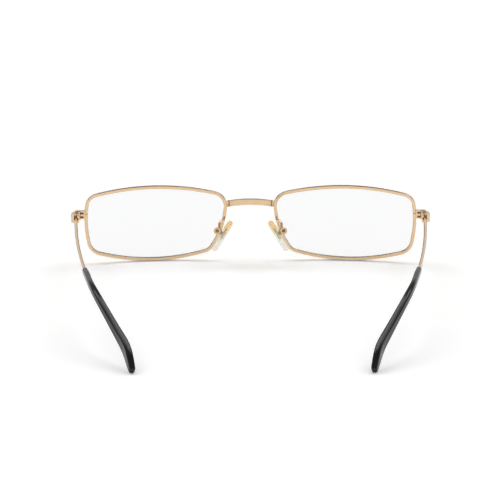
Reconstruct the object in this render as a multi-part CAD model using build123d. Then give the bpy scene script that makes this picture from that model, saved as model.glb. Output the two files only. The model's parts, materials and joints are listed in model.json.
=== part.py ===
from build123d import *
import math
import os

# Rectangular wire eyeglasses, open, standing on the rims and the temple tips.
# X runs across the face, the front looks along -Y, the temples run back along +Y, Z is up.
# Every pair is modelled once, for the wearer's left (+X), and mirrored for the right.

# Lens
lens_width = 52.0
lens_height = 26.8
lens_distance = 19.0
lens_thickness = 1.8
lens_front_radius = 131.0
face_form_angle = 4.5
bevel_height = 0.45
bevel_width = 0.8
bevel_clearance = 0.04
top_nose_radius = 5.0
top_temple_radius = 4.3
bottom_temple_radius = 5.5
bottom_nose_radius = 4.7
# Corners of the lens outline, from the top nose corner over the top to the bottom nose corner,
# as shares of half the width and half the height, and how far each side stands out from its chord
corner_shares = ((-1.0, 0.77), (0.967, 0.755), (0.928, -0.755), (-0.764, -0.747))
side_bulge_shares = (0.24, 0.052, 0.25, 0.075)

# Rim
rim_width = 1.2
rim_depth = 2.0
rim_edge_round = 0.25
lens_recess = 0.1
groove_width = 0.9
front_lean_angle = 8.4

# Bridge
bridge_height = 2.4
bridge_thickness = 1.1
bridge_level = 7.1
bridge_rise = 0.65
bridge_bow = 1.9
bridge_edge_round = 0.25

# Hinge
hinge_level = 4.0
hinge_inset = 2.4
hinge_setback = 1.7
knuckle_count = 5
knuckle_height = 0.7
end_knuckle_height = 0.4
knuckle_radius = 1.0
knuckle_gap = 0.05
knuckle_clearance = 0.1
plate_drop = 0.35
slot_wall = 0.25
slot_extra_depth = 0.2
butt_gap = 0.05
hinge_screw_radius = 0.55
hinge_head_radius = 0.85
hinge_head_height = 0.25
running_clearance = 0.05
seat_clearance = 0.02

# End piece
end_piece_thickness = 0.9
end_piece_height = 2.2
end_piece_drop = 0.6
end_piece_reach = 2.35
end_piece_outer_round = 2.3
end_piece_edge_round = 0.2
end_piece_start = 0.4

# Rim lock
lock_cut = 0.15
lock_height = 2.3
lock_end_gap = 0.4
lock_screw_radius = 0.5
lock_head_radius = 0.8
lock_head_height = 0.4
lock_embed = 0.3

# Driver slot in every screw head
driver_slot_width = 0.25
driver_slot_depth = 0.2

# Nose pad, its place and angles seen square to the front
pad_length = 13.0
pad_width = 6.5
pad_thickness = 1.8
pad_edge_round = 0.75
pad_inset = 1.0
pad_setback = 6.74
pad_drop = 4.0
pad_slant_angle = 30.9
pad_splay_angle = 11.0
insert_length = 5.0
insert_width = 2.6
insert_thickness = 0.6
eye_radius = 1.05
eye_thickness = 0.8
insert_lift = 0.9
eye_lift = 0.7
eye_neck_width = 1.3
pad_gap = 0.25

# Pad box and arm
box_radius = 1.35
box_length = 2.2
box_slot_clearance = 0.06
box_floor_gap = 0.06
pad_screw_radius = 0.4
pad_head_radius = 0.65
pad_head_height = 0.35
arm_radius = 0.45
arm_bend_radius = 0.8
arm_box_embed = 0.35
arm_foot_inset = 2.25
arm_foot_drop = 3.5
arm_foot_embed = 0.6
arm_swing = 1.65
arm_rise = 4.6
# Places of the pad arm between its foot and the box, as shares of its swing towards the nose,
# of its reach back to the box and of its rise
arm_route_shares = ((0.64, 0.22, 0.5), (1.0, 0.38, 1.0), (0.64, 0.66, 1.09), (0.09, 0.91, 0.93))

# Temple, as lengths back, in and down from the hinge pin
wire_radius = 0.6
wire_offset = 0.55
shaft_length = 97.0
shaft_bow_in = 1.9
shaft_end_in = 10.45
ear_length = 22.1
ear_drop = 13.5
ear_in = 11.6
ear_bend_radius = 25.0
end_length = 7.9
end_drop = 5.4
end_in = 2.5
end_bend_radius = 30.0
wire_end_gap = 4.5
socket_groove_radius = 0.85
socket_groove_depth = 1.6
# Where the shaft bends, as a share of its length, and how much of the room beside it that bend takes
shaft_bow_place_share = 0.495
shaft_bow_round_share = 0.95

# Temple hinge leaf
leaf_length = 4.0
leaf_inner_extra = 1.0
leaf_height = 3.0
leaf_drop = 0.3
leaf_outer_thickness = 1.25
leaf_inner_edge = 0.45
leaf_inner_flare = 0.4
leaf_front_gap = 1.25
leaf_edge_round = 0.25
leaf_lobe_round = 0.7

# Temple tip, with its section at places along its length
tip_length = 63.1
tip_width = 2.15
tip_height = 2.6
tip_corner_round = 0.9
tip_end_round = 0.85
# Share of the length, of the width and of the height at each place, and the share of the height
# by which its middle lies lower, which keeps the under edge straight where the top rounds off
tip_section_shares = (
    (0.0, 0.88, 0.88, 0), (0.04, 0.93, 0.96, 0), (0.2, 0.97, 1.01, 0), (0.4, 1.05, 1.12, 0),
    (0.6, 1.11, 1.27, 0), (0.75, 1.15, 1.52, 0), (0.86, 1.17, 1.78, 0.01), (0.92, 1.15, 1.68, 0.08),
    (0.965, 1.08, 1.36, 0.24), (1.0, 0.98, 1.0, 0.4),
)

overrun = 5.0

# Places worked out from the sizes above
lens_centre_x = (lens_distance + lens_width) / 2
rim_growth = rim_width - bevel_height
rim_outer_x = lens_centre_x + lens_width / 2 + rim_growth
dish_x = lens_centre_x - lens_front_radius * math.sin(math.radians(face_form_angle))
dish_y = lens_front_radius * math.cos(math.radians(face_form_angle))
lean_cos = math.cos(math.radians(front_lean_angle))
lean_sin = math.sin(math.radians(front_lean_angle))


def dish_depth(across, radius):
    """How far back a dished surface of this radius lies at a place across the front."""
    return dish_y - math.sqrt(radius ** 2 - (across - dish_x) ** 2)


def upright(across, back, level):
    """A place on the leaning front, in the frame of the upright hinges."""
    return Vector(across, back * lean_cos - level * lean_sin, level * lean_cos + back * lean_sin)


rim_front = upright(rim_outer_x, dish_depth(rim_outer_x, lens_front_radius), hinge_level)
rim_back = upright(rim_outer_x, dish_depth(rim_outer_x, lens_front_radius - rim_depth), hinge_level)
pin = Vector(rim_outer_x + hinge_inset, rim_back.Y + hinge_setback, rim_back.Z)
knuckle_pitch = knuckle_height + knuckle_gap
barrel_height = (knuckle_count - 2) * knuckle_pitch + 2 * end_knuckle_height + knuckle_gap
outer_x = pin.X + end_piece_reach
inner_x = outer_x - leaf_outer_thickness


# Shared shapes

def block(low, high):
    """Box between two corners."""
    size = high - low
    return Pos(*((low + high) / 2)) * Box(size.X, size.Y, size.Z)


def post(centre, radius, low, high):
    """Upright round bar at a place, from one height to another."""
    return Pos(centre.X, centre.Y, (low + high) / 2) * Cylinder(radius, high - low)


def pull_plan(points, low, high):
    """Upright solid over a plan outline, from one height to another."""
    face = make_face(Polyline(*points, close=True))
    return Pos(0, 0, low) * extrude(face, amount=high - low, dir=(0, 0, 1))


def upright_edges(solid, place, count=1):
    """The upright edges nearest to a place in plan."""
    spot = Vector(*place)

    def plan_distance(edge):
        return (Vector(edge.center().X, edge.center().Y) - spot).length

    return solid.edges().filter_by(Axis.Z).sort_by(plan_distance)[:count]


def screw(shank_radius, head_radius, head_height, length):
    """Slotted screw along Z with its head's top at zero and its shank below."""
    shank = Pos(0, 0, -length / 2) * Cylinder(shank_radius, length)
    head = Pos(0, 0, -head_height / 2) * Cylinder(head_radius, head_height)
    slot = Box(2 * head_radius + overrun, driver_slot_width, 2 * driver_slot_depth)
    return shank + head - slot


# Lens outline and the dished shells

def side_circle(start, end, bulge):
    """Centre and radius of the arc between two corners that stands out from its chord by the bulge."""
    chord = end - start
    radius = (chord.length ** 2 / 4 + bulge ** 2) / (2 * bulge)
    outward = Vector(-chord.Y, chord.X).normalized()
    return (start + end) / 2 - outward * (radius - bulge), radius


def meeting_point(circle, next_circle, near):
    """The crossing of two circles that lies nearer to a place."""
    centre, radius = circle
    across = next_circle[0] - centre
    share = (across.length ** 2 + radius ** 2 - next_circle[1] ** 2) / (2 * across.length ** 2)
    foot = centre + across * share
    rise = math.sqrt(radius ** 2 - (foot - centre).length ** 2)
    sideways = Vector(-across.Y, across.X).normalized() * rise
    return min((foot + sideways, foot - sideways), key=lambda place: (place - near).length)


def lens_outline(growth):
    """Lens outline, grown by a distance all round, as a face on the front's mid plane."""
    half_width = lens_width / 2
    half_height = lens_height / 2
    corners = [Vector(u * half_width, v * half_height) for u, v in corner_shares]
    reaches = (half_height, half_width, half_height, half_width)
    circles = []
    for index, (share, reach) in enumerate(zip(side_bulge_shares, reaches)):
        centre, radius = side_circle(corners[index], corners[(index + 1) % len(corners)], share * reach)
        circles.append((centre, radius + growth))
    grown = []
    for index, corner in enumerate(corners):
        grown.append(meeting_point(circles[index - 1], circles[index], corner))
    sides = []
    for index, (centre, radius) in enumerate(circles):
        start = grown[index]
        end = grown[(index + 1) % len(grown)]
        middle = centre + ((start + end) / 2 - centre).normalized() * radius
        sides.append(ThreePointArc(start, middle, end))
    outline = make_face(sides).face()
    radii = (top_nose_radius, top_temple_radius, bottom_temple_radius, bottom_nose_radius)
    for corner, radius in zip(grown, radii):
        outline = outline.fillet_2d(radius + growth, [outline.vertices().sort_by_distance(corner)[0]])
    return Plane(origin=(lens_centre_x, 0, 0), x_dir=(1, 0, 0), z_dir=(0, -1, 0)) * outline


def pull_front(growth):
    """Lens outline pulled through the whole depth of the front."""
    return extrude(lens_outline(growth), amount=rim_depth + lens_width / 2, both=True)


def dished_shell(front_drop, thickness):
    """Thick dished layer that starts a little behind the front's dished face."""
    outer = lens_front_radius - front_drop
    return Pos(dish_x, dish_y, 0) * (Sphere(outer) - Sphere(outer - thickness))


def make_rim_blank():
    """Solid dished disc with the rim's outside, used to trim what is soldered to the rim."""
    return pull_front(rim_growth) & dished_shell(0, rim_depth)


def make_rim(rim_blank):
    """Grooved wire ring, still whole."""
    rim = rim_blank - pull_front(-bevel_height)
    rim = fillet(rim.edges(), rim_edge_round)
    groove = pull_front(bevel_clearance) & dished_shell((rim_depth - groove_width) / 2, groove_width)
    return rim - groove


def make_lens():
    """Lens with the bevel that sits in the rim's groove."""
    body = pull_front(-bevel_height - bevel_clearance) & dished_shell(lens_recess, lens_thickness)
    bevel = pull_front(0) & dished_shell((rim_depth - bevel_width) / 2, bevel_width)
    return body + bevel


def make_bridge(rim_blank):
    """Strap arched up and bowed forward between the rims."""
    half = lens_distance / 2
    depth = dish_depth(half, lens_front_radius) + rim_depth / 2
    plan_path = ThreePointArc((-half, depth), (0, depth - bridge_bow), (half, depth))
    plan_band = extrude(trace(plan_path, bridge_thickness), amount=lens_height, both=True)
    front_path = ThreePointArc((-half, bridge_level), (0, bridge_level + bridge_rise), (half, bridge_level))
    front_band = extrude(Plane.XZ * trace(front_path, bridge_height), amount=lens_height, both=True)
    strap = plan_band & front_band
    strap = fillet(strap.edges().filter_by(lambda edge: edge.length > half), bridge_edge_round)
    return strap - rim_blank - mirror(rim_blank, about=Plane.YZ)


# Nose pad, built in its own frame: x across the pad, y down its length, z towards the nose

slant = math.radians(pad_slant_angle)
splay = math.radians(pad_splay_angle)
pad_across_dir = (math.cos(slant) * math.sin(splay), math.cos(splay), math.sin(slant) * math.sin(splay))
pad_nose_dir = (-math.cos(slant) * math.cos(splay), math.sin(splay), -math.sin(slant) * math.cos(splay))
nose_back = dish_depth(lens_distance / 2, lens_front_radius - rim_depth)
pad_place = (lens_distance / 2 + pad_inset, nose_back + pad_setback, -pad_drop)
pad_plane = Plane(origin=pad_place, x_dir=pad_across_dir, z_dir=pad_nose_dir)
eye_place = Vector(0, -eye_lift, -(pad_thickness / 2 + pad_gap + box_radius))
along_screw = Pos(*eye_place) * Rot(Y=90)


def make_insert():
    """Metal plate inside the pad, with a neck and an eye that stands out behind it."""
    outline = Pos(0, -insert_lift) * SlotOverall(insert_length, insert_width, rotation=90)
    plate = extrude(outline, amount=insert_thickness / 2, both=True)
    eye = along_screw * Cylinder(eye_radius, eye_thickness)
    neck_low = Vector(-eye_thickness / 2, eye_place.Y - eye_neck_width / 2, eye_place.Z)
    neck = block(neck_low, neck_low + Vector(eye_thickness, eye_neck_width, -eye_place.Z))
    bore = along_screw * Cylinder(pad_screw_radius + running_clearance, eye_thickness)
    return plate + eye + neck - bore


def make_pad(insert):
    """Clear pad with rounded edges, moulded round its insert."""
    body = extrude(SlotOverall(pad_length, pad_width, rotation=90), amount=pad_thickness / 2, both=True)
    return fillet(body.edges(), pad_edge_round) - insert


def make_pad_box():
    """Round slotted cup that holds the eye."""
    cup = along_screw * Cylinder(box_radius, box_length)
    slot_low = eye_place - Vector(
        eye_thickness / 2 + box_slot_clearance, box_radius + overrun, eye_radius + box_floor_gap)
    slot_high = eye_place + Vector(
        eye_thickness / 2 + box_slot_clearance, box_radius + overrun, box_radius + overrun)
    bore = along_screw * Cylinder(pad_screw_radius + seat_clearance, box_length)
    head_seat = along_screw * Pos(0, 0, (box_length - pad_head_height) / 2)
    head_room = head_seat * Cylinder(pad_head_radius + seat_clearance, pad_head_height)
    return cup - block(slot_low, slot_high) - bore - head_room


def make_pad_screw():
    """Slotted screw through the box and the eye, its head towards the wearer."""
    pin_solid = screw(pad_screw_radius, pad_head_radius, pad_head_height, box_length)
    return along_screw * Pos(0, 0, box_length / 2) * pin_solid


def make_pad_arm(rim_blank):
    """Wire from the rim's back edge, up, over and down to the box."""
    foot_x = lens_distance / 2 + arm_foot_inset
    foot_y = dish_depth(foot_x, lens_front_radius - rim_depth) - arm_foot_embed
    foot = Vector(foot_x, foot_y, -arm_foot_drop)
    box_top = pad_plane.from_local_coords(eye_place - Vector(0, box_radius - arm_box_embed, 0))
    reach = box_top.Y - foot.Y
    places = [foot]
    for swing_share, reach_share, rise_share in arm_route_shares:
        places.append(foot + Vector(-arm_swing * swing_share, reach * reach_share, arm_rise * rise_share))
    path = FilletPolyline(*places, box_top, radius=arm_bend_radius)
    section = Plane(origin=path @ 0, z_dir=path % 0) * Circle(arm_radius)
    return sweep(section, path) - rim_blank - pad_plane * along_screw * Cylinder(box_radius, box_length)


# Hinge, rim lock and end piece, upright beside the pin

def make_locks(rim_blank):
    """The two blocks that close the sawn rim, upper first."""
    low = Vector(rim_outer_x - lock_embed, rim_front.Y, pin.Z - lock_height / 2)
    high = Vector(inner_x - lock_end_gap, rim_back.Y, pin.Z + lock_height / 2)
    both = block(low, high)
    both = fillet(both.edges().filter_by(Axis.X), end_piece_edge_round) - rim_blank
    both -= post(lock_axis, lock_screw_radius + seat_clearance, low.Z, high.Z)
    both -= post(lock_axis, lock_head_radius + seat_clearance, low.Z, low.Z + lock_head_height)
    halves = []
    for floor, top in ((pin.Z + lock_cut / 2, high.Z), (low.Z, pin.Z - lock_cut / 2)):
        slab_low = Vector(low.X - overrun, low.Y - overrun, floor)
        slab = block(slab_low, Vector(high.X + overrun, high.Y + overrun, top))
        halves.append(Part() + (both & slab).solids().sort_by(SortBy.VOLUME)[-1])
    return halves


lock_axis = Vector((rim_outer_x + inner_x - lock_end_gap) / 2, (rim_front.Y + rim_back.Y) / 2)


def make_saw_cut():
    """The thin slot that opens the rim at the lock."""
    low = Vector(rim_outer_x - rim_width - lock_screw_radius, rim_front.Y - overrun, pin.Z - lock_cut / 2)
    high = Vector(rim_outer_x + lock_screw_radius, rim_back.Y + overrun, pin.Z + lock_cut / 2)
    return block(low, high)


def make_lock_screw():
    """Screw driven up through both blocks."""
    floor = pin.Z - lock_height / 2
    solid = screw(lock_screw_radius, lock_head_radius, lock_head_height, lock_height)
    return Pos(lock_axis.X, lock_axis.Y, floor) * Rot(X=180) * solid


def make_end_piece(rim_blank, locks):
    """Strap from the rim's front, turned back to the butt face at the hinge."""
    front_y = rim_front.Y - end_piece_thickness
    start_x = rim_outer_x - end_piece_start
    points = [
        (start_x, front_y), (outer_x, front_y), (outer_x, pin.Y),
        (inner_x, pin.Y), (inner_x, rim_front.Y), (start_x, rim_front.Y),
    ]
    middle = pin.Z - end_piece_drop
    strap = pull_plan(points, middle - end_piece_height / 2, middle + end_piece_height / 2)
    strap = fillet(upright_edges(strap, (outer_x, front_y)), end_piece_outer_round)
    strap = fillet(upright_edges(strap, (inner_x, rim_front.Y)), end_piece_outer_round - end_piece_thickness)
    strap = fillet(strap.faces().sort_by(Axis.Z)[-1].outer_wire().edges(), end_piece_edge_round)
    strap = fillet(strap.faces().sort_by(Axis.Z)[0].outer_wire().edges(), end_piece_edge_round)
    return strap - rim_blank - locks[0] - locks[1]


def knuckle_levels(start):
    """Middle heights of every second knuckle, from the bottom one up."""
    middle = (knuckle_count - 1) / 2
    return [pin.Z + (index - middle) * knuckle_pitch for index in range(start, knuckle_count, 2)]


def make_front_leaf(rim_blank):
    """Comb of three plates with the slots that take the temple's knuckles."""
    low = pin.Z - barrel_height / 2
    high = pin.Z + barrel_height / 2
    body = block(
        Vector(rim_outer_x - lock_embed, rim_back.Y, low),
        Vector(inner_x, pin.Y - plate_drop, high))
    leaf = body + post(pin, knuckle_radius, low, high)
    slot_floor = pin.Y - knuckle_radius - knuckle_clearance - slot_extra_depth
    for level in knuckle_levels(1):
        half = knuckle_height / 2 + knuckle_gap
        leaf -= block(
            Vector(rim_outer_x + slot_wall, slot_floor, level - half),
            Vector(inner_x, pin.Y + knuckle_radius + overrun, level + half))
    leaf -= post(pin, hinge_screw_radius + seat_clearance, low, high)
    leaf -= post(pin, hinge_head_radius + seat_clearance, high - hinge_head_height, high)
    return leaf - rim_blank


def make_hinge_screw():
    """Screw dropped down through all five knuckles."""
    solid = screw(hinge_screw_radius, hinge_head_radius, hinge_head_height, barrel_height)
    return Pos(pin.X, pin.Y, pin.Z + barrel_height / 2) * solid


def make_temple_leaf(wire_path):
    """Butt plate, wire socket and two knuckles in one piece."""
    low = pin.Z - leaf_drop - leaf_height / 2
    high = pin.Z - leaf_drop + leaf_height / 2
    front_y = pin.Y + butt_gap
    body_y = pin.Y + leaf_front_gap
    rear_y = pin.Y + leaf_length
    inner_edge_x = pin.X - leaf_inner_edge
    inner_end = (inner_edge_x - leaf_inner_flare, rear_y + leaf_inner_extra)
    points = [
        (inner_x, front_y), (outer_x, front_y), (outer_x, rear_y),
        inner_end, (inner_edge_x, body_y), (inner_x, body_y),
    ]
    leaf = pull_plan(points, low, high)
    leaf = fillet(upright_edges(leaf, (outer_x, rear_y)), leaf_lobe_round)
    leaf = fillet(upright_edges(leaf, inner_end), leaf_lobe_round)
    leaf = fillet(leaf.faces().sort_by(Axis.Z)[-1].outer_wire().edges(), leaf_edge_round)
    leaf = fillet(leaf.faces().sort_by(Axis.Z)[0].outer_wire().edges(), leaf_edge_round)
    leaf -= post(pin, knuckle_radius + knuckle_clearance, low, high)
    for level in knuckle_levels(1):
        bottom = level - knuckle_height / 2
        top = level + knuckle_height / 2
        arm = block(Vector(inner_edge_x, pin.Y, bottom), Vector(inner_x, body_y + leaf_lobe_round, top))
        arm += block(Vector(pin.X, front_y, bottom), Vector(inner_x + leaf_lobe_round, body_y, top))
        leaf += arm + post(pin, knuckle_radius, bottom, top)
    leaf -= post(pin, hinge_screw_radius + running_clearance, low, high)
    socket = Plane(origin=wire_path @ 0, z_dir=wire_path % 0)
    leaf -= socket * Pos(0, 0, overrun / 2) * Cylinder(wire_radius, overrun)
    groove_start = leaf_length - leaf_front_gap - socket_groove_depth
    groove = socket * Pos(0, 0, groove_start + overrun / 2) * Cylinder(socket_groove_radius, overrun)
    trough_low = wire_path @ 0 + Vector(-wire_radius, groove_start, 0)
    trough_high = trough_low + Vector(2 * wire_radius, overrun, leaf_height)
    return leaf - groove - block(trough_low, trough_high)


# Temple wire and tip

def temple_path(start_back, with_end):
    """Middle line of the temple, on to the tip's end or only as far as the wire reaches in the tip."""
    start = pin + Vector(wire_offset, start_back, -leaf_drop)
    bow = pin + Vector(wire_offset - shaft_bow_in, shaft_length * shaft_bow_place_share, -leaf_drop)
    ear = pin + Vector(wire_offset - shaft_end_in, shaft_length, -leaf_drop)
    drop = Vector(-ear_in, ear_length, -ear_drop)
    ear_half_turn = math.radians((ear - bow).get_angle(drop)) / 2
    ear_room = (ear - bow).length - ear_bend_radius * math.tan(ear_half_turn)
    bow_half_turn = math.radians((bow - start).get_angle(ear - bow)) / 2
    bow_room = min((bow - start).length, ear_room)
    bow_radius = shaft_bow_round_share * bow_room / math.tan(bow_half_turn)
    if with_end:
        turn = ear + drop
        end = turn + Vector(-end_in, end_length, -end_drop)
        radii = (bow_radius, ear_bend_radius, end_bend_radius)
        return FilletPolyline(start, bow, ear, turn, end, radius=radii)
    wire_end = ear + drop.normalized() * (drop.length - wire_end_gap)
    return FilletPolyline(start, bow, ear, wire_end, radius=(bow_radius, ear_bend_radius))


def make_temple_wire(path):
    """Thin round wire with the ear bend."""
    section = Plane(origin=path @ 0, z_dir=path % 0) * Circle(wire_radius)
    return sweep(section, path)


def make_temple_tip(path, wire):
    """Sleeve that follows the wire and widens to a rounded paddle."""
    start = path.length - tip_length
    sections = []
    for along_share, width_share, height_share, drop_share in tip_section_shares:
        distance = (start + along_share * tip_length) / path.length
        ahead = path % distance
        side = ahead.cross(Vector(0, 0, 1)).normalized()
        outline = RectangleRounded(tip_width * width_share, tip_height * height_share, tip_corner_round)
        outline = Pos(0, tip_height * drop_share) * outline
        sections.append(Plane(origin=path @ distance, x_dir=side, z_dir=ahead) * outline)
    sleeve = loft(sections)
    sleeve = fillet(sleeve.faces().sort_by_distance(path @ 1)[0].outer_wire().edges(), tip_end_round)
    return sleeve - wire


# All pieces

lean = Rot(X=front_lean_angle)
blank = make_rim_blank()
leaned_blank = lean * blank
tip_path = temple_path(leaf_front_gap, True)
wire_path = temple_path(leaf_front_gap, False)
pad_insert = make_insert()
pad_box = make_pad_box()
temple_wire = make_temple_wire(wire_path)
locks = make_locks(leaned_blank)

left_pieces = {
    "rim": lean * make_rim(blank) - make_saw_cut(),
    "lens": lean * make_lens(),
    "rim_lock_upper": locks[0],
    "rim_lock_lower": locks[1],
    "rim_lock_screw": make_lock_screw(),
    "end_piece": make_end_piece(leaned_blank, locks),
    "front_hinge_leaf": make_front_leaf(leaned_blank),
    "hinge_screw": make_hinge_screw(),
    "pad_arm": lean * make_pad_arm(blank),
    "pad_box": lean * (pad_plane * pad_box),
    "pad_screw": lean * (pad_plane * make_pad_screw()),
    "pad_insert": lean * (pad_plane * pad_insert),
    "nose_pad": lean * (pad_plane * make_pad(pad_insert)),
    "temple_hinge_leaf": make_temple_leaf(wire_path),
    "temple_wire": temple_wire,
    "temple_tip": make_temple_tip(tip_path, temple_wire),
}

# Tilt the glasses until rim and tip touch the table, then put the middle of their footprint at zero
rest_angle = 0
for _ in range(8):
    rim_box = (Rot(X=rest_angle) * left_pieces["rim"]).bounding_box()
    tip_box = (Rot(X=rest_angle) * left_pieces["temple_tip"]).bounding_box()
    run = tip_box.max.Y - rim_box.center().Y
    rest_angle += math.degrees(math.atan2(rim_box.min.Z - tip_box.min.Z, run))

rested_rim = (Rot(X=rest_angle) * left_pieces["rim"]).bounding_box()
rested_tip = (Rot(X=rest_angle) * left_pieces["temple_tip"]).bounding_box()
rested_end = (Rot(X=rest_angle) * left_pieces["end_piece"]).bounding_box()
front_y = min(rested_rim.min.Y, rested_end.min.Y)
settle = Pos(0, -(front_y + rested_tip.max.Y) / 2, -rested_rim.min.Z) * Rot(X=rest_angle)

os.makedirs("parts", exist_ok=True)
bridge = settle * lean * make_bridge(blank)
export_step(bridge, "parts/bridge.step")
for name, piece in left_pieces.items():
    placed = settle * piece
    export_step(placed, f"parts/left_{name}.step")
    export_step(mirror(placed, about=Plane.YZ), f"parts/right_{name}.step")

rested_pin = settle * Pos(*pin)
print("rest angle", round(rest_angle, 4))
print("hinge pin", rested_pin.position)
print("hinge pin direction", (settle * Pos(0, 0, 1)).position - settle.position)
pad_pivot = settle * lean * pad_plane.location * Pos(*eye_place)
print("pad pivot", pad_pivot.position)
print("pad pivot direction", (pad_pivot * Pos(1, 0, 0)).position - pad_pivot.position)
print("tip path length", tip_path.length)
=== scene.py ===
import json
import bmesh
import bpy
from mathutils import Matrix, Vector

# The rectangular eyeglasses of the photograph, seen from behind and above.
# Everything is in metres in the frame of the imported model: the front looks along -Y, Z is up.

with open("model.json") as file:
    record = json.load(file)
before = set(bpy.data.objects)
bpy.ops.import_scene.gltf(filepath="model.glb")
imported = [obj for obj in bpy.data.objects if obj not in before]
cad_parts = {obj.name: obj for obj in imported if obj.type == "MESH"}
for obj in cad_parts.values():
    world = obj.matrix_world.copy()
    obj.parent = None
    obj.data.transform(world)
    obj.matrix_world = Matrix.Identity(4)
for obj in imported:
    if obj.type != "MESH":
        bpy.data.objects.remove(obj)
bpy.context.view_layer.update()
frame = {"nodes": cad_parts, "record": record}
scene = bpy.context.scene

WHITE = (1.0, 1.0, 1.0, 1.0)


def neutral(level):
    """Grey of one brightness."""
    return (level,) * 3


# Values of the materials

# Where a noise leaves its deep colour and where it reaches its light one
CLOUD_START = 0.3
CLOUD_END = 0.7
FINE_RELIEF_DEPTH = 0.00001

# Metals: their noises, and for each its two colours, its range of roughness and its relief
METAL_CLOUD = {"scale": 420.0, "detail": 4.0}
METAL_HAIRLINES = {"scale": 5200.0, "detail": 2.0}
GOLD_LOOK = {
    "deep": (0.78, 0.555, 0.345), "light": (0.81, 0.585, 0.37),
    "roughness": (0.05, 0.1), "relief": 0.1}
# The screws' dark browns are painted shade, standing in for the dark recess around each screw head
SCREW_PAINTED_SHADE_LOOK = {
    "deep": (0.34, 0.2, 0.1), "light": (0.46, 0.29, 0.16),
    "roughness": (0.18, 0.34), "relief": 0.4}
INSERT_LOOK = {
    "deep": (0.62, 0.43, 0.2), "light": (0.78, 0.57, 0.31),
    "roughness": (0.25, 0.45), "relief": 0.5}

# Painted shade where metal parts meet: how far a spot looks for others, the openness at which the
# shade is full and the one at which there is none, and its two browns, which the bridge's seams also use
PAINTED_SHADE_REACH = 0.0009
PAINTED_SHADE_SAMPLES = 8
PAINTED_SHADE_FULL_AT = 0.3
PAINTED_SHADE_NONE_AT = 0.74
SHADE_AND_SEAM_BROWN = (0.07, 0.035, 0.015)
SHADE_AND_SEAM_BROWN_LIGHT = (0.1, 0.05, 0.024)

# The bridge's solder seams: their distance from the middle, and how brown they are across
SEAM_START = 0.0077
SEAM_END = 0.0083
SEAM_DEPTH = 0.75
SEAM_STOPS = (
    (0.0, neutral(0.0)), (0.35, neutral(SEAM_DEPTH)),
    (0.65, neutral(SEAM_DEPTH)), (1.0, neutral(0.0)))

# Black sleeves
SLEEVE_CLOUD = {"scale": 300.0, "detail": 4.0}
SLEEVE_MARKS = {"scale": 7000.0, "detail": 2.0}
SLEEVE_DEEP = (0.004, 0.004, 0.004)
SLEEVE_LIGHT = (0.009, 0.0085, 0.0085)
SLEEVE_ROUGHNESS = (0.12, 0.2)
SLEEVE_SPECULAR = 0.33
SLEEVE_RELIEF = 0.15

# Lenses: what they let through, and the range of the share of gloss that their haze leaves
LENS_TINT = (0.97, 0.971, 0.972, 1.0)
LENS_HAZE = {"scale": 160.0, "detail": 2.0}
LENS_GLOSS_SHARE = (0.28, 0.36)
LENS_ROUGHNESS = 0.03
LENS_IOR = 1.3

# Nose pads: the heights between which their colour changes, the colours from foot to top, whose golden
# top is painted and stands for the metal core seen through the pad, and the range of the milky plastic's
# share
PAD_FOOT_LEVEL = 0.0055
PAD_TOP_LEVEL = 0.0172
PAD_TINTS_AND_PAINTED_GOLD = (
    (0.0, (0.97, 0.9, 0.8)), (0.12, (0.98, 0.98, 0.97)), (0.45, (0.98, 0.96, 0.88)),
    (0.78, (0.98, 0.87, 0.64)), (1.0, (0.98, 0.74, 0.42)))
PAD_CLOUD = {"scale": 900.0, "detail": 3.0}
PAD_MILKY_SHARE = (0.24, 0.36)
PAD_ROUGHNESS = (0.12, 0.24)
PAD_IOR = 1.42
PAD_SPECULAR = 0.6
PAD_RELIEF = 0.2
PAD_RELIEF_DEPTH = 0.00002

# Sockets of the two Mix nodes that share a name with others
FIRST_COLOUR_INPUT = 6
SECOND_COLOUR_INPUT = 7
MIXED_COLOUR_OUTPUT = 2
FIRST_SHADER_INPUT = 1
SECOND_SHADER_INPUT = 2


# Building blocks of the materials

def new_material(name):
    """Empty node material with its output and one Principled shader."""
    material = bpy.data.materials.new(name)
    material.use_nodes = True
    tree = material.node_tree
    tree.nodes.clear()
    output = tree.nodes.new("ShaderNodeOutputMaterial")
    shader = tree.nodes.new("ShaderNodeBsdfPrincipled")
    tree.links.new(shader.outputs["BSDF"], output.inputs["Surface"])
    return material, tree, shader, output


def noise(tree, scale, detail):
    """Noise in object space."""
    coordinates = tree.nodes.new("ShaderNodeTexCoord")
    texture = tree.nodes.new("ShaderNodeTexNoise")
    texture.inputs["Scale"].default_value = scale
    texture.inputs["Detail"].default_value = detail
    tree.links.new(coordinates.outputs["Object"], texture.inputs["Vector"])
    return texture.outputs["Fac"]


def axes(tree, space="Object"):
    """Outputs X, Y and Z of a place on the surface or of a direction of the world."""
    coordinates = tree.nodes.new("ShaderNodeTexCoord")
    split = tree.nodes.new("ShaderNodeSeparateXYZ")
    tree.links.new(coordinates.outputs[space], split.inputs["Vector"])
    return split.outputs


def calculated(tree, operation, *values):
    """Result of one arithmetic step on linked values."""
    node = tree.nodes.new("ShaderNodeMath")
    node.operation = operation
    for value, socket in zip(values, node.inputs):
        tree.links.new(value, socket)
    return node.outputs["Value"]


def span(tree, factor, low, high):
    """A factor from 0 to 1 mapped to a range of plain numbers."""
    node = tree.nodes.new("ShaderNodeMapRange")
    node.inputs["To Min"].default_value = low
    node.inputs["To Max"].default_value = high
    tree.links.new(factor, node.inputs["Value"])
    return node.outputs["Result"]


def mapped(tree, value, start, end):
    """A value mapped from a range of plain numbers to a factor from 0 to 1."""
    node = tree.nodes.new("ShaderNodeMapRange")
    node.inputs["From Min"].default_value = start
    node.inputs["From Max"].default_value = end
    tree.links.new(value, node.inputs["Value"])
    return node.outputs["Result"]


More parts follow.
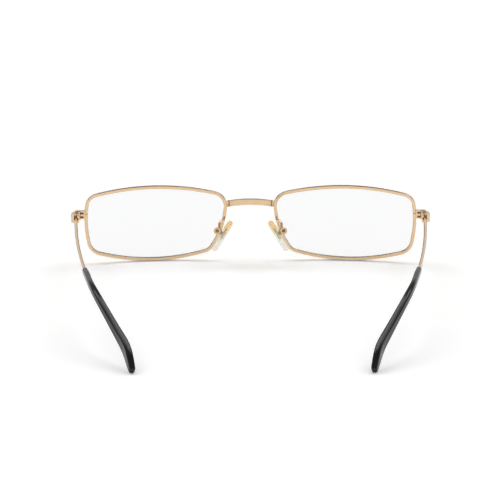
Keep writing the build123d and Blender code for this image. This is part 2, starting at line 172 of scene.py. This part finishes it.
def ramp(tree, factor, stops):
    """Colour ramp over a factor, from (place, colour) stops."""
    node = tree.nodes.new("ShaderNodeValToRGB")
    elements = node.color_ramp.elements
    while len(elements) < len(stops):
        elements.new(0.5)
    for element, (place, colour) in zip(elements, stops):
        element.position = place
        element.color = (*colour, 1.0)
    tree.links.new(factor, node.inputs["Fac"])
    return node.outputs["Color"]


def clouded(tree, cloud, deep, light):
    """Two colours that a noise goes between."""
    return ramp(tree, cloud, ((CLOUD_START, deep), (CLOUD_END, light)))


def colour_mixer(tree, first, second):
    """Node that mixes two colours."""
    node = tree.nodes.new("ShaderNodeMix")
    node.data_type = "RGBA"
    tree.links.new(first, node.inputs[FIRST_COLOUR_INPUT])
    tree.links.new(second, node.inputs[SECOND_COLOUR_INPUT])
    return node


def blended(tree, factor, first, second):
    """Two colours mixed by a factor."""
    node = colour_mixer(tree, first, second)
    tree.links.new(factor, node.inputs["Factor"])
    return node.outputs[MIXED_COLOUR_OUTPUT]


def lighter(tree, first, second):
    """The lighter of two colours."""
    node = colour_mixer(tree, first, second)
    node.blend_type = "LIGHTEN"
    node.inputs["Factor"].default_value = 1.0
    return node.outputs[MIXED_COLOUR_OUTPUT]


def show_mix(tree, output, factor, first, second):
    """Shows two shaders mixed by a factor."""
    node = tree.nodes.new("ShaderNodeMixShader")
    tree.links.new(factor, node.inputs["Fac"])
    tree.links.new(first, node.inputs[FIRST_SHADER_INPUT])
    tree.links.new(second, node.inputs[SECOND_SHADER_INPUT])
    tree.links.new(node.outputs["Shader"], output.inputs["Surface"])


def bump(tree, shader, factor, strength, distance):
    """Small relief on a shader's normal."""
    node = tree.nodes.new("ShaderNodeBump")
    node.inputs["Strength"].default_value = strength
    node.inputs["Distance"].default_value = distance
    tree.links.new(factor, node.inputs["Height"])
    tree.links.new(node.outputs["Normal"], shader.inputs["Normal"])


def painted_crevice_shade(tree):
    """A factor for painted shade that falls from 1 in the open to 0 deep in narrow gaps."""
    node = tree.nodes.new("ShaderNodeAmbientOcclusion")
    node.samples = PAINTED_SHADE_SAMPLES
    node.inputs["Distance"].default_value = PAINTED_SHADE_REACH
    return mapped(tree, node.outputs["AO"], PAINTED_SHADE_FULL_AT, PAINTED_SHADE_NONE_AT)


def seam_line(tree):
    """A factor that rises to the seam's depth on the thin solder seam near each end of the bridge."""
    aside = calculated(tree, "ABSOLUTE", axes(tree)["X"])
    return ramp(tree, mapped(tree, aside, SEAM_START, SEAM_END), SEAM_STOPS)


# Materials

def make_metal(name, deep, light, roughness, relief, seam=False):
    """Polished plated metal with faint clouding, hairline relief and painted shade in its crevices."""
    material, tree, shader, _ = new_material(name)
    cloud = noise(tree, **METAL_CLOUD)
    hairlines = noise(tree, **METAL_HAIRLINES)
    unshaded = clouded(tree, cloud, deep, light)
    # Painted shade: the metal turns brown in the narrow gaps where parts meet
    shade_and_seam_brown = clouded(tree, cloud, SHADE_AND_SEAM_BROWN, SHADE_AND_SEAM_BROWN_LIGHT)
    colour = blended(tree, painted_crevice_shade(tree), shade_and_seam_brown, unshaded)
    if seam:
        colour = blended(tree, seam_line(tree), colour, shade_and_seam_brown)
    shader.inputs["Metallic"].default_value = 1.0
    tree.links.new(colour, shader.inputs["Base Color"])
    tree.links.new(span(tree, hairlines, *roughness), shader.inputs["Roughness"])
    bump(tree, shader, hairlines, relief, FINE_RELIEF_DEPTH)
    return material


def make_sleeve_material():
    """Glossy black sleeve plastic with fine handling marks."""
    material, tree, shader, _ = new_material("black_sleeve")
    cloud = noise(tree, **SLEEVE_CLOUD)
    marks = noise(tree, **SLEEVE_MARKS)
    shader.inputs["Specular IOR Level"].default_value = SLEEVE_SPECULAR
    tree.links.new(clouded(tree, cloud, SLEEVE_DEEP, SLEEVE_LIGHT), shader.inputs["Base Color"])
    tree.links.new(span(tree, cloud, *SLEEVE_ROUGHNESS), shader.inputs["Roughness"])
    bump(tree, shader, marks, SLEEVE_RELIEF, FINE_RELIEF_DEPTH)
    return material


def make_lens_material():
    """Clear coated lens plastic that barely shows and hardly casts a shadow."""
    material, tree, shader, output = new_material("clear_lens")
    tree.nodes.remove(shader)
    clear = tree.nodes.new("ShaderNodeBsdfTransparent")
    clear.inputs["Color"].default_value = LENS_TINT
    gloss = tree.nodes.new("ShaderNodeBsdfGlossy")
    gloss.inputs["Color"].default_value = WHITE
    gloss.inputs["Roughness"].default_value = LENS_ROUGHNESS
    fresnel = tree.nodes.new("ShaderNodeFresnel")
    fresnel.inputs["IOR"].default_value = LENS_IOR
    share = span(tree, noise(tree, **LENS_HAZE), *LENS_GLOSS_SHARE)
    path = tree.nodes.new("ShaderNodeLightPath").outputs
    passing = calculated(tree, "MAXIMUM", path["Is Shadow Ray"], path["Is Diffuse Ray"])
    weight = calculated(tree, "MULTIPLY", fresnel.outputs["Fac"], share)
    shown = calculated(tree, "MULTIPLY", weight, span(tree, passing, 1.0, 0.0))
    show_mix(tree, output, shown, clear.outputs["BSDF"], gloss.outputs["BSDF"])
    return material


def make_pad_material():
    """Clear soft pad plastic, milky and cloudy, with painted gold towards the top that stands for its
    metal core seen through it.
    """
    material, tree, shader, output = new_material("clear_pad")
    cloud = noise(tree, **PAD_CLOUD)
    height = mapped(tree, axes(tree)["Z"], PAD_FOOT_LEVEL, PAD_TOP_LEVEL)
    tint_and_painted_gold = ramp(tree, height, PAD_TINTS_AND_PAINTED_GOLD)
    shader.inputs["IOR"].default_value = PAD_IOR
    shader.inputs["Specular IOR Level"].default_value = PAD_SPECULAR
    tree.links.new(tint_and_painted_gold, shader.inputs["Base Color"])
    tree.links.new(span(tree, cloud, *PAD_ROUGHNESS), shader.inputs["Roughness"])
    bump(tree, shader, cloud, PAD_RELIEF, PAD_RELIEF_DEPTH)
    clear = tree.nodes.new("ShaderNodeBsdfTransparent")
    tree.links.new(tint_and_painted_gold, clear.inputs["Color"])
    milky = span(tree, cloud, *PAD_MILKY_SHARE)
    show_mix(tree, output, milky, clear.outputs["BSDF"], shader.outputs["BSDF"])
    return material


SLOT_MATERIALS = {
    "gold_metal": make_metal("champagne_gold", **GOLD_LOOK),
    # Screws in the dark brown of painted shade
    "screw_metal": make_metal("screw_painted_shade", **SCREW_PAINTED_SHADE_LOOK),
    "insert_metal": make_metal("insert_gold", **INSERT_LOOK),
    "black_plastic": make_sleeve_material(),
    "clear_lens": make_lens_material(),
    "clear_silicone": make_pad_material(),
}


def dress(node, material):
    """Gives a node one material all over."""
    for slot in node.material_slots:
        slot.material = material


for subpart in frame["record"]["subparts"]:
    dress(frame["nodes"][subpart["node"]], SLOT_MATERIALS[subpart["material_slot"]])

dress(frame["nodes"]["bridge"], make_metal("seamed_gold", **GOLD_LOOK, seam=True))


# Floor

FLOOR_HALF_WIDTH = 0.8
FLOOR_FAR_END = -0.7
FLOOR_NEAR_END = 1.3
FLOOR_GRAIN = {"scale": 60.0, "detail": 3.0}
FLOOR_DEEP = neutral(0.9)
FLOOR_LIGHT = neutral(0.905)
FLOOR_ROUGHNESS = 0.6
FLOOR_SPECULAR = 0.1
# In reflections the floor fades into the dark beyond the glasses, between these places on Y
DARK_FLOOR_START = -0.12
DARK_FLOOR_END = -0.17
# Its colour in reflections from the dark to the near part
FLOOR_MIRRORED = ((0.0, neutral(0.06)), (1.0, neutral(0.86)))
# Light that the floor adds for the camera and, on its near part, for reflections
FLOOR_GLOW = 0.25


def make_floor():
    """Pale table top that stays white apart from the soft shadows."""
    mesh = bpy.data.meshes.new("floor")
    shape = bmesh.new()
    spots = (
        (-FLOOR_HALF_WIDTH, FLOOR_FAR_END), (FLOOR_HALF_WIDTH, FLOOR_FAR_END),
        (FLOOR_HALF_WIDTH, FLOOR_NEAR_END), (-FLOOR_HALF_WIDTH, FLOOR_NEAR_END))
    shape.faces.new([shape.verts.new((x, y, 0.0)) for x, y in spots])
    shape.to_mesh(mesh)
    shape.free()
    mesh.materials.append(make_floor_material())
    floor = bpy.data.objects.new("floor", mesh)
    scene.collection.objects.link(floor)


def make_floor_material():
    """Pale matt top with a faint grain, darker beyond the glasses where metal mirrors it."""
    material, tree, shader, _ = new_material("pale_floor")
    grain = clouded(tree, noise(tree, **FLOOR_GRAIN), FLOOR_DEEP, FLOOR_LIGHT)
    near_part = mapped(tree, axes(tree)["Y"], DARK_FLOOR_END, DARK_FLOOR_START)
    path = tree.nodes.new("ShaderNodeLightPath").outputs
    colour = blended(tree, path["Is Glossy Ray"], grain, ramp(tree, near_part, FLOOR_MIRRORED))
    mirrored = calculated(tree, "MULTIPLY", near_part, path["Is Glossy Ray"])
    seen = calculated(tree, "MAXIMUM", path["Is Camera Ray"], mirrored)
    shader.inputs["Roughness"].default_value = FLOOR_ROUGHNESS
    shader.inputs["Specular IOR Level"].default_value = FLOOR_SPECULAR
    shader.inputs["Emission Color"].default_value = WHITE
    tree.links.new(colour, shader.inputs["Base Color"])
    tree.links.new(span(tree, seen, 0.0, FLOOR_GLOW), shader.inputs["Emission Strength"])
    return material


make_floor()


# World

STUDIO_STRENGTH = 3.3


def lit(level):
    """Colour that gives one brightness at the studio's strength."""
    return neutral(level / STUDIO_STRENGTH)


# The studio's brightness by the height of a direction, for the dark strip in the middle of the
# far side, the rest of the far side, the sides and the camera's side
STRIP_STOPS = ((0.08, lit(0.04)), (0.14, lit(0.85)), (0.23, lit(0.85)), (0.33, lit(0.2)))
FAR_STOPS = ((0.23, lit(0.85)), (0.33, lit(0.2)))
SIDE_STOPS = ((0.25, lit(0.85)), (0.4, lit(0.25)))
NEAR_STOPS = ((0.12, lit(0.95)), (0.3, lit(0.7)), (0.4, lit(0.7)), (0.55, lit(0.35)))
# How far aside a direction is where the dark strip starts and ends fading
STRIP_FADE = (0.17, 0.26)
# How far along Y a direction is where the far side and the near side start and are complete
FAR_SIDE = (-0.35, -0.6)
NEAR_SIDE = (0.35, 0.6)
# Direction of the light overhead on the +X side, which another mirrors on the -X side, and the
# brightness by the cosine of the angle from it
OVERHEAD_DIRECTION = (0.38, -0.33, 0.864)
OVERHEAD_STOPS = ((0.7, lit(0.0)), (0.85, lit(0.3)), (0.94, lit(0.35)), (0.96, lit(STUDIO_STRENGTH)))


def studio_walls(tree, aside, along, height):
    """Brightness of the studio's walls by direction."""
    far_wall = blended(
        tree, mapped(tree, aside, *STRIP_FADE),
        ramp(tree, height, STRIP_STOPS), ramp(tree, height, FAR_STOPS))
    walls = blended(tree, mapped(tree, along, *FAR_SIDE), ramp(tree, height, SIDE_STOPS), far_wall)
    return blended(tree, mapped(tree, along, *NEAR_SIDE), walls, ramp(tree, height, NEAR_STOPS))


def overhead_lights(tree, aside, along, height):
    """Brightness of the two lights overhead by direction."""
    paired = tree.nodes.new("ShaderNodeCombineXYZ")
    tree.links.new(aside, paired.inputs["X"])
    tree.links.new(along, paired.inputs["Y"])
    tree.links.new(height, paired.inputs["Z"])
    nearness = tree.nodes.new("ShaderNodeVectorMath")
    nearness.operation = "DOT_PRODUCT"
    nearness.inputs[1].default_value = OVERHEAD_DIRECTION
    tree.links.new(paired.outputs["Vector"], nearness.inputs[0])
    return ramp(tree, nearness.outputs["Value"], OVERHEAD_STOPS)


def make_world():
    """White for the camera; for the glasses a studio with lit walls and two lights overhead."""
    world = bpy.data.worlds.new("studio")
    scene.world = world
    world.use_nodes = True
    tree = world.node_tree
    tree.nodes.clear()
    output = tree.nodes.new("ShaderNodeOutputWorld")
    direction = axes(tree, "Generated")
    aside = calculated(tree, "ABSOLUTE", direction["X"])
    walls = studio_walls(tree, aside, direction["Y"], direction["Z"])
    lights = overhead_lights(tree, aside, direction["Y"], direction["Z"])
    studio = tree.nodes.new("ShaderNodeBackground")
    studio.inputs["Strength"].default_value = STUDIO_STRENGTH
    tree.links.new(lighter(tree, walls, lights), studio.inputs["Color"])
    white = tree.nodes.new("ShaderNodeBackground")
    white.inputs["Color"].default_value = WHITE
    path = tree.nodes.new("ShaderNodeLightPath").outputs
    seen = calculated(tree, "MAXIMUM", path["Is Camera Ray"], path["Is Transmission Ray"])
    show_mix(tree, output, seen, studio.outputs["Background"], white.outputs["Background"])


make_world()


# Camera

# Middle of the front, and how many pixels of the photograph it lies right of and above the centre
FRONT_POINT = Vector((0.0, -0.0667, 0.013))
FRONT_POINT_RIGHT = 0.3
FRONT_POINT_ABOVE = 25.7
CAMERA_PLACE = Vector((0.0086, 1.08442, 0.3518))
FOCAL_PIXELS = 3180.0
FRAME_PIXELS = 500.0
SENSOR_WIDTH = 36.0
CLIP_START = 0.05
CLIP_END = 20.0
UPWARD = Vector((0.0, 0.0, 1.0))


def make_camera():
    """Camera that puts the middle of the front where the photograph has it."""
    data = bpy.data.cameras.new("camera")
    data.sensor_width = SENSOR_WIDTH
    data.lens = FOCAL_PIXELS / FRAME_PIXELS * SENSOR_WIDTH
    data.clip_start = CLIP_START
    data.clip_end = CLIP_END
    camera = bpy.data.objects.new("camera", data)
    scene.collection.objects.link(camera)
    camera.location = CAMERA_PLACE
    ahead = FRONT_POINT - CAMERA_PLACE
    right = ahead.cross(UPWARD).normalized()
    above = right.cross(ahead).normalized()
    metres_per_pixel = ahead.length / FOCAL_PIXELS
    offset = right * FRONT_POINT_RIGHT + above * FRONT_POINT_ABOVE
    aim = FRONT_POINT - offset * metres_per_pixel
    camera.rotation_mode = "QUATERNION"
    camera.rotation_quaternion = (aim - CAMERA_PLACE).to_track_quat("-Z", "Y")
    scene.camera = camera


make_camera()
scene.view_settings.view_transform = "Standard"
